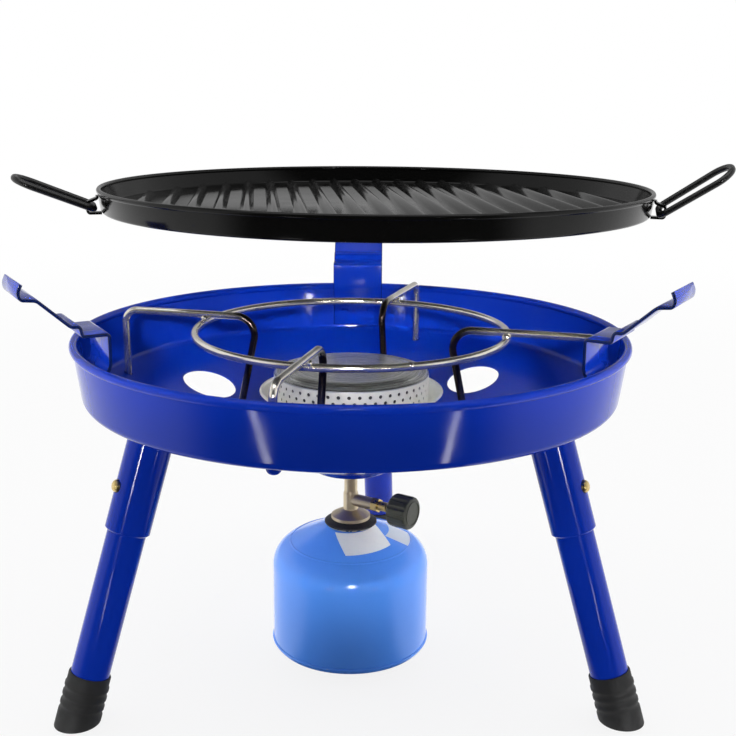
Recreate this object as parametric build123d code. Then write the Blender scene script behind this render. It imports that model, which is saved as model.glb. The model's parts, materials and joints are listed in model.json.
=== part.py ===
from build123d import *
import os
from math import cos, radians, sin, sqrt, tan

os.makedirs("parts", exist_ok=True)

# A three-legged camping gas stove with a fire bowl, a wire trivet and a lift-off griddle pan.
# Millimetres, +Z up. The ground is z = 0 and the bowl's axis is the Z axis.
# Azimuths are degrees about Z from +X; the user stands on the -Y side.

# Clearances
run_gap = 0.3          # between pieces that move past each other
fit_gap = 0.1          # between pieces that are pressed, welded or screwed together

# Fire bowl, sizes below the rim top
rim_bead = 5.4         # diameter of the rolled rim
rim_radius = 182.4     # bowl axis to the middle of the rolled rim
bowl_sheet = 1.2       # sheet thickness
wall_lean = 4.6        # the wall draws in by this much from the rim to the floor
wall_depth = 38.2      # rim top down to the corner of wall and floor
wall_corner = 5.0      # bend radius between wall and floor
floor_slope = 20.4     # the conical floor falls this steeply to the middle
well_radius = 26.5     # flat disc pressed down in the middle of the floor
well_flank = 4.5       # width of the step round that disc
well_depth = 4.6       # depth of the step
well_corner = 2.5
vent_diameter = 40.0
vent_inset = 51.8      # a vent's centre inside the wall's foot
vent_azimuths = (44.0, 149.0, 270.0)
dimple_depth = 2.0     # pockets that hold the trivet's outer feet
dimple_play = 0.7      # room round a foot in its pocket
dimple_round = 3.4     # rounding of a pocket's underside

# Pan supports, bent from strip and welded inside the wall
support_count = 3
support_azimuth = 90.0     # the rear support; the others follow at equal steps
support_width = 40.0
support_strip = 2.0
support_bend = 1.6         # bend radius of the strip's middle
support_tail_clear = 4.2   # tail's lower end above the wall's foot
support_tail_top = 10.0    # the tail lies on the wall up to here
plate_inset = 7.7          # upright plate inside the rolled rim
plate_foot = 2.5           # the plate's lower bend above the rim top
ledge_height = 18.5        # ledge top above the rim top
ledge_length = 15.5
step_rise = 6.2
step_run = 1.2
perch_length = 5.0         # short flat outside the step
arm_run = 18.5
arm_rise = 17.0
lip_run = 4.5              # flat at the arm's end, before the curl
curl_radius = 4.4

# Legs
leg_azimuths = (84.0, 212.0, 332.0)
leg_splay = 17.5           # from vertical
leg_inset = 34.8           # where the leg's axis meets the floor, inside the wall's foot
socket_diameter = 28.5
socket_wall = 1.7
socket_length = 64.0       # along the leg's axis, down from its root
socket_chamfer = 1.0
tube_wall = 1.5
tube_clear = 14.0          # tube's end short of the root
button_drop = 36.0         # button's axis below the root
button_diameter = 8.0
button_dome = 2.7          # rounding of the button's end
button_proud = 2.8         # dome's tip outside the socket
button_flange = 1.0
button_flange_width = 1.5  # flange past the shank, all round
spring_strip = 0.8
spring_width = 8.0
spring_length = 26.0
spring_overhang = 6.0      # arms' ends below the button's axis
spring_shoulder = 8.0      # bend of an arm above the button
spring_apex = 2.0          # bend at the top
foot_wall = 1.65
foot_sleeve = 26.0         # cap's length on the tube, along the leg's axis
foot_floor = 7.0           # ground to the tube's end, along the leg's axis

# Wire trivet
wire_diameter = 5.0
ring_radius = 105.0        # middle of the ring's wire
ring_drop = 0.7            # ring's middle below the rim top
bar_azimuths = (73.0, 167.0, 257.0, 346.0)
bar_inner_radius = 66.5    # upper bend of the inner leg
bar_inset = 11.8           # outer leg inside the wall's foot
bar_outer_bend = 9.0
bar_inner_bend = 13.0
inner_leg_splay = 12.0

# Burner
burner_sheet = 1.0
dish_gutter = 2.7          # flat of the dish outside the band
dish_flare = 6.5           # width of the dish's rising lip
dish_lip_rise = 6.8
dish_bend = 4.0
band_radius = 52.8
band_sheet = 0.8
band_top_drop = 30.2       # below the rim top
band_height = 18.8
band_rows = 3
band_row_pitch = 4.4
band_first_row = 3.4       # top row's centre below the band's top
band_holes = 48
band_hole = 2.4
cap_slope = 11.3           # width of the cap's sloping border
cap_rise = 2.6             # cap's flat over its edge
mixer_diameter = 18.0
mixer_wall = 1.2
mixer_floor = 2.0
mixer_collar = 3.0         # collar's width under the dish
mixer_collar_height = 2.0
mixer_stand = 2.5          # tube's end above the dish floor
air_hole = 8.0
air_holes = 4
air_hole_rise = 12.0       # hole centre above the tube's lower end

# Valve
stem_diameter = 9.2
stem_thread = 6.0          # upper, thinner part that passes through the bowl
nut_flats = 11.0
nut_height = 5.0
jet_height = 7.5
jet_diameter = 6.4
jet_bore = 1.0
jet_chamfer = 1.3
gas_bore = 2.4
stem_length = 24.6         # bowl to the branch's axis
branch_azimuth = -32.0
hub_diameter = 10.4
hub_height = 9.0
hub_taper = 2.0            # cone from the hub up to the stem
branch_diameter = 8.6
branch_length = 18.8
gland_flats = 8.6
gland_length = 4.8         # hexagon
sleeve_diameter = 6.6      # round end of the gland nut
sleeve_length = 6.6
spindle_diameter = 3.8
needle_length = 3.8
needle_tip = 0.9
spindle_seal_length = 2.6
seal_wall = 1.2
knob_start = 35.0          # bowl axis to the knob's rear face, along the branch
knob_length = 15.5
knob_diameter = 22.8
knob_flutes = 12
flute_diameter = 3.6
flute_depth = 0.9
knob_bore = 9.3            # depth of the spindle's hole in the knob
knob_edge = 2.4
bell_diameter = 27.4
bell_fall = 13.5           # bell's lower face below the branch's axis
bell_rim = 2.2             # height of the bell's upright edge
bell_crown = 3.5           # height where the bell's edge turns in
neck_fall = 7.0            # bell's neck below the branch's axis
seal_diameter = 36.6
seal_height = 3.2
seal_bore = 22.0
seal_edge = 1.0            # height of the skirt's upright edge
inlet_bore = 11.6
inlet_depth = 4.6
gasket_thickness = 0.8
gasket_bore = 6.0
pin_diameter = 1.6
pin_length = 4.0
pin_bar = 1.2              # width of the bar that carries the pin

# Gas cartridge
can_diameter = 110.0
can_sheet = 0.9
can_height = 90.0          # base to the top of the crimped ring
can_ground_gap = 5.0       # ground to the cartridge's base
can_dome_fall = 18.0       # dome's fall from the ring to the shoulder's corner
can_shoulder = 18.0
can_base_recess = 9.0
can_foot_inset = 9.0       # standing ring inside the wall
can_base_bend = 3.0
collar_radius = 16.5       # crimped ring round the cartridge's valve
collar_ring = 2.6
collar_height = 1.4
collar_edge = 0.6
nipple_wall = 2.0

# Griddle pan
pan_play = 7.5             # room between the pan's rim and the supports' steps
pan_height = 14.7
pan_sheet = 2.0
pan_bead = 3.2
pan_lean = 2.5             # the wall draws in by this much from the rim to the base
pan_corner = 1.5
pan_turn = 6.5             # the ribs run square to this azimuth
pan_offset = 15.3          # the lifted pan hangs this far to the right of the bowl's axis
pan_lift = 63.5            # the lifted pan's base above the ledges
rib_count = 19
rib_base = 9.0
rib_top = 2.4
rib_height = 4.4
rib_margin = 11.5          # rib ends short of the wall
rib_edge = 10.8            # outermost rib's middle inside the ribs' round field

# Pan handles
handle_wire = 4.0
handle_azimuths = (-17.0, 199.0)
handle_length = 48.0       # hinge axis to the middle of the far end
handle_root_width = 20.0   # between the wires' middles
handle_tip_width = 25.0
handle_root_bend = 5.0
handle_flat = 3.0          # straight stretch at the far end
handle_angles = (34.0, 22.0)   # above horizontal
handle_twists = (12.0, -3.5)   # about the handle's length, as it sits loose in its eye
hinge_height = 4.55        # hinge axis above the pan's base
hinge_play = 0.95          # room round the wire in its eye
eye_strap = 1.5
eye_width = 6.5
eye_bend = 1.6
eye_flat = 1.6             # upper end that lies on the pan's wall

# Places that follow from the sizes above: the rim stands so high that the cartridge clears the ground
wall_foot_radius = rim_radius - wall_lean
vent_radius = wall_foot_radius - vent_inset
leg_root_radius = wall_foot_radius - leg_inset
bar_outer_radius = wall_foot_radius - bar_inset
bowl_half = bowl_sheet / 2
slope = tan(radians(floor_slope))
sheet_rise = bowl_half / cos(radians(floor_slope))
well_top = well_radius + well_flank
well_drop = wall_depth + (wall_foot_radius - well_top) * slope + well_depth
bell_z = can_ground_gap + can_height + run_gap + seal_height
branch_z = bell_z + bell_fall
well_z = branch_z + stem_length
rim_height = well_z + well_drop
seat_z = rim_height + ledge_height
pan_base_z = seat_z + run_gap + pan_lift
ring_z = rim_height - ring_drop
wire_radius = wire_diameter / 2
bar_z = ring_z + wire_diameter + fit_gap
band_top_z = rim_height - band_top_drop
dish_floor_z = band_top_z - band_height
dish_flat_radius = band_radius + dish_gutter
dish_radius = dish_flat_radius + dish_flare
plate_radius = rim_radius - rim_bead / 2 - plate_inset - support_strip / 2
step_radius = plate_radius + ledge_length
pan_radius = step_radius - support_strip / 2 - pan_play
pan_base_radius = pan_radius - pan_lean
can_base = can_ground_gap
can_top = can_base + can_height
can_collar_z = can_top - collar_height
tube_diameter = socket_diameter - 2 * socket_wall - 2 * run_gap
foot_bore = tube_diameter + 2 * fit_gap
foot_diameter = foot_bore + 2 * foot_wall
flange_diameter = button_diameter + 2 * button_flange_width
azimuths = [support_azimuth + 360 * n / support_count for n in range(support_count)]
places = ("rear", "left", "right")


# Height of the middle of the bowl's conical floor sheet
def floor_z(radius):
    return rim_height - wall_depth - (wall_foot_radius - radius) * slope


# Radius of the middle of the bowl's wall sheet at a depth below the rim top
def wall_radius(drop):
    top = rim_bead / 2
    lean = (rim_radius - wall_foot_radius) / (wall_depth - top)
    return rim_radius - (drop - top) * lean


# A bent strip's cross-section, from the line along its middle
def strip(points, bends, thickness):
    return trace(FilletPolyline(*points, radius=bends), line_width=thickness)


# A solid of revolution from a profile drawn as radius and height
def turned(profile):
    return revolve(Plane.XZ * profile, Axis.Z)


def outline(*points):
    return make_face(Polyline(*points, close=True))


def around(azimuth, shape):
    return Rot(0, 0, azimuth) * shape


# A straight tube about Z between two heights
def tube(outer, inner, low, high):
    ring = Circle(outer / 2) - Circle(inner / 2)
    return Pos(0, 0, low) * extrude(ring, high - low)


def rod(diameter, low, high):
    return Pos(0, 0, low) * extrude(Circle(diameter / 2), high - low)


def swept_wire(path, diameter):
    section = Plane(path @ 0, z_dir=path % 0) * Circle(diameter / 2)
    return sweep(section, path)


def save(node, shape):
    export_step(shape, "parts/" + node + ".step")


# Everything over the bowl's conical floor, moved up or down by lift
def above_floor(lift):
    reach = wall_foot_radius
    return turned(outline((0, floor_z(0) + lift), (reach, floor_z(reach) + lift),
                          (reach, rim_height), (0, rim_height)))


def fire_bowl():
    middle = rim_height - rim_bead / 2
    corners = [(rim_radius, middle), (wall_foot_radius, rim_height - wall_depth),
               (well_top, floor_z(well_top)), (well_radius, well_z),
               (stem_thread / 2 + fit_gap, well_z)]
    sheet = strip(corners, [wall_corner, well_corner, well_corner], bowl_sheet)
    bowl = turned(sheet + Pos(rim_radius, middle) * Circle(rim_bead / 2))
    pocket_bore = wire_diameter + 2 * dimple_play
    for azimuth in bar_azimuths:
        pocket_floor = floor_z(bar_outer_radius) - dimple_depth
        cup = rod(pocket_bore + 2 * bowl_sheet, pocket_floor - bowl_sheet, rim_height - wall_depth)
        cup = fillet(cup.edges().sort_by(Axis.Z)[0], dimple_round)
        cup = Pos(bar_outer_radius, 0, 0) * cup - above_floor(0)
        bore = Pos(bar_outer_radius, 0, 0) * rod(pocket_bore, pocket_floor, rim_height)
        bowl = bowl + around(azimuth, cup) - around(azimuth, bore)
    across = Plane((vent_radius, 0, floor_z(vent_radius)), x_dir=(0, 1, 0),
                   z_dir=(-slope, 0, 1))
    punch = across * extrude(Circle(vent_diameter / 2), vent_diameter / 2, both=True)
    for azimuth in vent_azimuths:
        bowl = bowl - around(azimuth, punch)
    return bowl


def pan_support():
    half = support_strip / 2

    def tail(drop):
        inner = wall_radius(drop) - bowl_half
        return sqrt(inner**2 - (support_width / 2) ** 2) - half - 2 * fit_gap

    ledge_z = seat_z - half
    perch = (step_radius + step_run, ledge_z + step_rise)
    arm = (perch[0] + perch_length, perch[1])
    lip = (arm[0] + arm_run, arm[1] + arm_rise)
    curl = (lip[0] + lip_run + curl_radius, lip[1] + half)
    tail_end = wall_depth - support_tail_clear
    corners = [(tail(tail_end), rim_height - tail_end),
               (tail(support_tail_top), rim_height - support_tail_top),
               (plate_radius, rim_height + plate_foot),
               (plate_radius, ledge_z),
               (step_radius, ledge_z),
               perch, arm, lip, curl,
               (curl[0] + half, curl[1] + curl_radius),
               (curl[0] - half, curl[1] + 2 * curl_radius)]
    section = Plane.XZ * strip(corners, [support_bend] * (len(corners) - 2), support_strip)
    return extrude(section, support_width / 2, both=True)


# Each leg is drawn about its own axis, from the ground up to its root on the bowl's floor
leg_length = floor_z(leg_root_radius) / cos(radians(leg_splay))
leg_foot_radius = leg_root_radius + leg_length * sin(radians(leg_splay))
button_place = leg_length - button_drop
leg_frame = Plane((leg_foot_radius, 0, 0),
                  x_dir=(cos(radians(leg_splay)), 0, sin(radians(leg_splay))),
                  z_dir=(-sin(radians(leg_splay)), 0, cos(radians(leg_splay))))


# A hole for the button, outward from the leg's axis
def button_bore(diameter):
    return Pos(0, 0, button_place) * Rot(0, 90, 0) * rod(diameter, 0, socket_diameter)


def leg_socket():
    inner = socket_diameter - 2 * socket_wall
    shell = tube(socket_diameter, inner, leg_length - socket_length, leg_length + socket_diameter)
    low_edges = shell.edges().group_by(Axis.Z)[0].sort_by(SortBy.LENGTH)
    shell = chamfer(low_edges[-1], socket_chamfer)
    shell = shell - button_bore(button_diameter + 2 * run_gap)
    return leg_frame * shell - above_floor(-sheet_rise - fit_gap)


def leg_tube():
    shell = tube(tube_diameter, tube_diameter - 2 * tube_wall, foot_floor, leg_length - tube_clear)
    return leg_frame * (shell - button_bore(button_diameter + 2 * run_gap))


# The button's rear face, as a distance from the leg's axis
def button_root():
    inner = tube_diameter / 2 - tube_wall
    return sqrt(inner**2 - (flange_diameter / 2) ** 2) - run_gap - button_flange


def snap_button():
    tip = socket_diameter / 2 + button_proud
    shank = rod(button_diameter, button_root(), tip)
    shank = fillet(shank.edges().sort_by(Axis.Z)[-1], button_dome)
    shank = shank + rod(flange_diameter, button_root(), button_root() + button_flange)
    return leg_frame * (Pos(0, 0, button_place) * Rot(0, 90, 0) * shank)


def leg_spring():
    front = button_root() - fit_gap - spring_strip / 2
    low = button_place - spring_overhang
    corners = [(front, low), (front, button_place + spring_overhang),
               (0, low + spring_length), (-front, button_place + spring_overhang),
               (-front - button_flange, low)]
    section = Plane.XZ * strip(corners, [spring_shoulder, spring_apex, spring_shoulder], spring_strip)
    return leg_frame * extrude(section, spring_width / 2, both=True)


def foot_cap():
    body = rod(foot_diameter, -foot_diameter, foot_floor + foot_sleeve)
    body = chamfer(body.edges().sort_by(Axis.Z)[-1], socket_chamfer)
    bore = rod(foot_bore, foot_floor - fit_gap, foot_floor + 2 * foot_sleeve)
    reach = 2 * (leg_foot_radius + foot_diameter)
    ground = Pos(0, 0, -foot_diameter) * Box(reach, reach, 2 * foot_diameter)
    return leg_frame * (body - bore) - ground


def trivet_bar():
    splay = tan(radians(inner_leg_splay))
    surface = floor_z(0) + sheet_rise + run_gap + wire_radius * slope
    inner_foot = bar_inner_radius + (bar_z - surface) * splay
    inner_foot = inner_foot / (1 + slope * splay)
    outer_foot_z = floor_z(bar_outer_radius) - dimple_depth + run_gap
    path = FilletPolyline((bar_outer_radius, 0, outer_foot_z), (bar_outer_radius, 0, bar_z),
                          (bar_inner_radius, 0, bar_z), (inner_foot, 0, surface + inner_foot * slope),
                          radius=[bar_outer_bend, bar_inner_bend])
    return swept_wire(path, wire_diameter)


def burner_dish():
    middle = dish_floor_z - burner_sheet / 2
    corners = [(mixer_diameter / 2 + fit_gap, middle), (dish_flat_radius, middle),
               (dish_radius - burner_sheet / 2, dish_floor_z + dish_lip_rise)]
    return turned(strip(corners, dish_bend, burner_sheet))


def burner_band():
    band = tube(2 * band_radius, 2 * (band_radius - band_sheet), dish_floor_z, band_top_z)
    across = Rot(0, 90, 0) * rod(band_hole, band_radius - 2 * band_sheet, band_radius + band_sheet)
    punches = []
    for row in range(band_rows):
        row_z = band_top_z - band_first_row - row * band_row_pitch
        for n in range(band_holes):
            turn = (n + row / 2) * 360 / band_holes
            punches.append(Pos(0, 0, row_z) * around(turn, across))
    return band - punches


def burner_cap():
    edge_z = band_top_z + burner_sheet / 2
    flat_radius = band_radius - cap_slope
    corners = [(0, edge_z + cap_rise), (flat_radius, edge_z + cap_rise), (band_radius, edge_z)]
    return turned(strip(corners, dish_bend, burner_sheet))


def mixing_tube():
    low = well_z + bowl_half + nut_height
    inner = mixer_diameter - 2 * mixer_wall
    collar_top = dish_floor_z - burner_sheet
    body = rod(mixer_diameter, low, dish_floor_z + mixer_stand)
    body = body + rod(mixer_diameter + 2 * mixer_collar, collar_top - mixer_collar_height, collar_top)
    body = body - rod(inner, low + mixer_floor, rim_height)
    body = body - rod(stem_thread + 2 * fit_gap, 0, rim_height)
    port = Pos(0, 0, low + air_hole_rise) * Rot(0, 90, 0) * rod(air_hole, 0, mixer_diameter)
    return body - [around(360 * n / air_holes, port) for n in range(air_holes)]


def hexagon(flats):
    return RegularPolygon(flats / 2, 6, major_radius=False)


def lock_nut():
    low = well_z + bowl_half
    nut = Pos(0, 0, low) * extrude(hexagon(nut_flats), nut_height)
    return nut - rod(stem_thread + 2 * fit_gap, 0, rim_height)


def stem_top():
    return well_z + bowl_half + nut_height + mixer_floor


def gas_jet():
    low = stem_top()
    jet = rod(jet_diameter, low, low + jet_height)
    jet = chamfer(jet.edges().sort_by(Axis.Z)[-1], jet_chamfer)
    return jet - rod(jet_bore, 0, rim_height)


# Places a shape drawn about +Z along the valve's branch
def along_branch(shape):
    return around(branch_azimuth, Pos(0, 0, branch_z) * Rot(0, 90, 0) * shape)


def valve_body():
    shoulder = well_z - bowl_half
    hub_top = branch_z + hub_height / 2
    neck_z = branch_z - neck_fall
    profile = outline((0, stem_top()), (stem_thread / 2, stem_top()), (stem_thread / 2, shoulder),
                      (stem_diameter / 2, shoulder), (stem_diameter / 2, hub_top + hub_taper),
                      (hub_diameter / 2, hub_top), (hub_diameter / 2, neck_z),
                      (bell_diameter / 2 - bell_rim, bell_z + bell_crown),
                      (bell_diameter / 2, bell_z + bell_rim), (bell_diameter / 2, bell_z),
                      (0, bell_z))
    body = turned(profile) + along_branch(rod(branch_diameter, 0, branch_length))
    body = body - rod(gas_bore, bell_z, rim_height)
    body = body - rod(inlet_bore, 0, bell_z + inlet_depth)
    return body - along_branch(rod(spindle_diameter + 2 * run_gap, 0, 2 * branch_length))


def gland_nut():
    hexagon_end = branch_length + gland_length
    nut = Pos(0, 0, branch_length) * extrude(hexagon(gland_flats), gland_length)
    nut = nut + rod(sleeve_diameter, hexagon_end, hexagon_end + sleeve_length)
    nut = nut - rod(spindle_diameter + 2 * run_gap, 0, 2 * knob_start)
    pocket = rod(spindle_diameter + 2 * run_gap + 2 * seal_wall, 0, branch_length + spindle_seal_length)
    return along_branch(nut - pocket)


def spindle_seal():
    inner = spindle_diameter + 2 * run_gap
    ring = tube(inner + 2 * seal_wall - 2 * fit_gap, inner, branch_length,
                branch_length + spindle_seal_length)
    return along_branch(ring)


def valve_spindle():
    tip = gas_bore / 2 + run_gap
    end = knob_start + knob_bore
    needle = outline((0, tip), (needle_tip / 2, tip), (spindle_diameter / 2, tip + needle_length),
                     (spindle_diameter / 2, end), (0, end))
    return along_branch(turned(needle))


def valve_knob():
    body = rod(knob_diameter, knob_start, knob_start + knob_length)
    ends = body.edges().filter_by(GeomType.CIRCLE)
    body = fillet(ends, knob_edge)
    far = knob_start + 2 * knob_length
    flute = Pos((knob_diameter + flute_diameter) / 2 - flute_depth, 0, 0) * rod(flute_diameter, 0, far)
    body = body - [around(360 * n / knob_flutes, flute) for n in range(knob_flutes)]
    return along_branch(body - rod(spindle_diameter + 2 * fit_gap, 0, knob_start + knob_bore))


def cartridge_seal():
    top = bell_diameter / 2
    flare = seal_diameter / 2
    low = bell_z - seal_height
    return turned(outline((seal_bore / 2, bell_z), (top, bell_z), (flare, low + seal_edge),
                          (flare, low), (seal_bore / 2, low)))


def inlet_gasket():
    top = bell_z + inlet_depth - fit_gap
    return tube(inlet_bore - 2 * fit_gap, gasket_bore, top - gasket_thickness, top)


def depressor_pin():
    top = bell_z + inlet_depth
    bar = Box(gasket_bore - 2 * fit_gap, pin_bar, gasket_thickness)
    return rod(pin_diameter, top - pin_length, top) + Pos(0, 0, top - gasket_thickness / 2) * bar


def cartridge_can():
    outer = can_diameter / 2
    middle = outer - can_sheet / 2
    low = can_base + can_sheet / 2
    corners = [(collar_radius + can_sheet / 2, can_collar_z), (middle, can_collar_z - can_dome_fall),
               (middle, low), (outer - can_foot_inset, low),
               (outer - can_foot_inset - can_base_recess, can_base + can_base_recess),
               (0, can_base + can_base_recess)]
    bends = [can_shoulder, can_base_bend, can_base_bend, can_base_bend]
    return turned(strip(corners, bends, can_sheet))


def cartridge_valve():
    plate_low = can_collar_z - can_sheet / 2
    nipple = inlet_bore - 2 * run_gap
    nipple_top = bell_z + inlet_depth - gasket_thickness - fit_gap - run_gap
    inside = collar_radius - fit_gap
    cup = tube(2 * inside, 2 * (inside - collar_ring), plate_low, can_top)
    cup = fillet(cup.edges().group_by(Axis.Z)[-1], collar_edge)
    cup = cup + rod(2 * inside - collar_ring, plate_low, plate_low + nipple_wall)
    cup = cup + rod(nipple, plate_low, nipple_top)
    bore = rod(nipple - 2 * nipple_wall, plate_low + nipple_wall, rim_height)
    return cup - bore


def griddle_pan():
    middle = pan_sheet / 2
    rim = (pan_radius - pan_bead / 2, pan_height - pan_bead / 2)
    corners = [(0, middle), (pan_base_radius - middle, middle), rim]
    pan = turned(strip(corners, pan_corner, pan_sheet) + Pos(*rim) * Circle(pan_bead / 2))
    flank = (rib_base - rib_top) / 2
    reach = pan_base_radius - pan_sheet - rib_margin
    pitch = 2 * (reach - rib_edge) / (rib_count - 1)
    comb = []
    for n in range(rib_count):
        start = n * pitch - (reach - rib_edge) - rib_base / 2
        comb.append(outline((start, 0), (start + rib_base, 0), (start + rib_base - flank, rib_height),
                            (start + flank, rib_height)))
    ribs = [extrude(Plane.XZ * Pos(0, pan_sheet) * tooth, pan_radius, both=True) for tooth in comb]
    ribs = [rib & rod(2 * reach, pan_sheet, pan_height) for rib in ribs]
    return pan + ribs


# Places a shape drawn about the pan's own axis where the lifted pan hangs
def in_pan(azimuth, shape):
    return Pos(pan_offset, 0, pan_base_z) * around(azimuth, shape)


wire_gap = handle_wire / 2 + hinge_play
hinge_radius = pan_radius - pan_bead / 2 + pan_sheet / 2 + wire_gap


# Outside of the pan's wall at a height over its base
def pan_wall(height):
    top = pan_radius - pan_bead / 2 + pan_sheet / 2
    return pan_base_radius + (top - pan_base_radius) * height / (pan_height - pan_bead / 2)


def handle_eye():
    half = eye_strap / 2
    low = hinge_height - wire_gap - half
    top = pan_height - pan_bead - fit_gap
    bend = top - eye_flat
    front = hinge_radius + wire_gap + half
    shoulder = hinge_height + wire_gap
    corners = [(pan_wall(low) + fit_gap, low), (front, low), (front, shoulder),
               (pan_wall(bend) + fit_gap + half, bend), (pan_wall(top) + fit_gap + half, top)]
    section = Plane.XZ * strip(corners, eye_bend, eye_strap)
    return extrude(section, eye_width / 2, both=True)


def pan_handle(rise, twist):
    root = handle_root_width / 2
    tip = handle_tip_width / 2
    corners = [(0, root), (handle_length, tip), (handle_length, -tip), (0, -root)]
    tip_bend = tip - handle_flat / 2
    bends = [handle_root_bend, tip_bend, tip_bend, handle_root_bend]
    path = FilletPolyline(*corners, radius=bends, close=True)
    loop = swept_wire(path, handle_wire)
    return Pos(hinge_radius, 0, hinge_height) * Rot(0, -rise, 0) * Rot(twist, 0, 0) * loop


save("fire_bowl", fire_bowl())
for place, azimuth in zip(places, azimuths):
    save("pan_support_" + place, around(azimuth, pan_support()))
for place, azimuth in zip(places, leg_azimuths):
    save("leg_socket_" + place, around(azimuth, leg_socket()))
    save("leg_tube_" + place, around(azimuth, leg_tube()))
    save("leg_spring_" + place, around(azimuth, leg_spring()))
    save("snap_button_" + place, around(azimuth, snap_button()))
    save("foot_cap_" + place, around(azimuth, foot_cap()))

save("trivet_ring", Pos(0, 0, ring_z) * Torus(ring_radius, wire_radius))
for number, azimuth in enumerate(bar_azimuths, 1):
    save("trivet_bar_" + str(number), around(azimuth, trivet_bar()))

save("burner_dish", burner_dish())
save("burner_band", burner_band())
save("burner_cap", burner_cap())
save("mixing_tube", mixing_tube())
save("lock_nut", lock_nut())
save("gas_jet", gas_jet())
save("valve_body", valve_body())
save("gland_nut", gland_nut())
save("spindle_seal", spindle_seal())
save("valve_spindle", valve_spindle())
save("valve_knob", valve_knob())
save("cartridge_seal", cartridge_seal())
save("inlet_gasket", inlet_gasket())
save("depressor_pin", depressor_pin())
save("cartridge_can", cartridge_can())
save("cartridge_valve", cartridge_valve())

save("griddle_pan", in_pan(pan_turn, griddle_pan()))
for place, azimuth, rise, twist in zip(("right", "left"), handle_azimuths, handle_angles, handle_twists):
    save("handle_eye_" + place, in_pan(azimuth, handle_eye()))
    save("pan_handle_" + place, in_pan(azimuth, pan_handle(rise, twist)))
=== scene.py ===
import bmesh
import bpy
import json
from math import atan2, cos, pi, radians, sin, tan
from mathutils import Matrix, Vector, noise


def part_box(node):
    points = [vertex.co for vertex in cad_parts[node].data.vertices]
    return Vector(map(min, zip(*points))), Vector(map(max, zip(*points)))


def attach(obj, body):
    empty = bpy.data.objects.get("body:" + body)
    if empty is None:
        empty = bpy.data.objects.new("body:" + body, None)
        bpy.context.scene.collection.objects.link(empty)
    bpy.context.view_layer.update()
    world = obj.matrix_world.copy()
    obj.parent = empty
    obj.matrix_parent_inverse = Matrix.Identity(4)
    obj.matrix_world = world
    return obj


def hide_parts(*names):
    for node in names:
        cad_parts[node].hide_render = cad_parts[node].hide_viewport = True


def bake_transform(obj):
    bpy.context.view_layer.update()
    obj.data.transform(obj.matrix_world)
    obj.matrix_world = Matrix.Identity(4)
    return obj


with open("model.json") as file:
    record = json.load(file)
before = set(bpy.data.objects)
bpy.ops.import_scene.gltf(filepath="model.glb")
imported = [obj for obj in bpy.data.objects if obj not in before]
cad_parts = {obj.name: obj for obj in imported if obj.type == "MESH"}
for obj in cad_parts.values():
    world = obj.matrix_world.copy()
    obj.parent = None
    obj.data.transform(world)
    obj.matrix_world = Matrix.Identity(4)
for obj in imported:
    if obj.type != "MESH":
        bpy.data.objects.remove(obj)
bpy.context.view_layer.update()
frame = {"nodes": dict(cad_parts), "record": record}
nodes = frame["nodes"]
scene = bpy.context.scene
scene.view_settings.view_transform = "Standard"
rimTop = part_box("fire_bowl")[1].z
print("frame loaded:", len(nodes), "nodes, rim at", round(rimTop, 4))


# camera, as the photograph was taken

cameraView = {
    "distance": 0.7192,  # from the bowl's axis
    "aboveRim": 0.1569,
    "turn": 1.6,  # round the stove, degrees
    "yaw": 0.897,
    "pitch": 14.341,
    "roll": 0.519,
    "lens": 53.22,
    "sensor": 36.0,
    "clip": (0.01, 60.0),
}


def setCamera(view):
    optics = bpy.data.cameras.new("stoveCamera")
    optics.lens = view["lens"]
    optics.sensor_width = view["sensor"]
    optics.clip_start, optics.clip_end = view["clip"]
    camera = bpy.data.objects.new("stoveCamera", optics)
    scene.collection.objects.link(camera)
    stand = Matrix.Translation((0, -view["distance"], rimTop + view["aboveRim"]))
    aim = Matrix.Rotation(radians(-view["yaw"]), 4, "Z")
    aim = aim @ Matrix.Rotation(radians(90 - view["pitch"]), 4, "X")
    aim = aim @ Matrix.Rotation(radians(view["roll"]), 4, "Z")
    camera.matrix_world = Matrix.Rotation(radians(view["turn"]), 4, "Z") @ stand @ aim
    scene.camera = camera


setCamera(cameraView)


# studio: white cove, soft light from above, two narrow strips in front, and narrow fill beams

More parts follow.
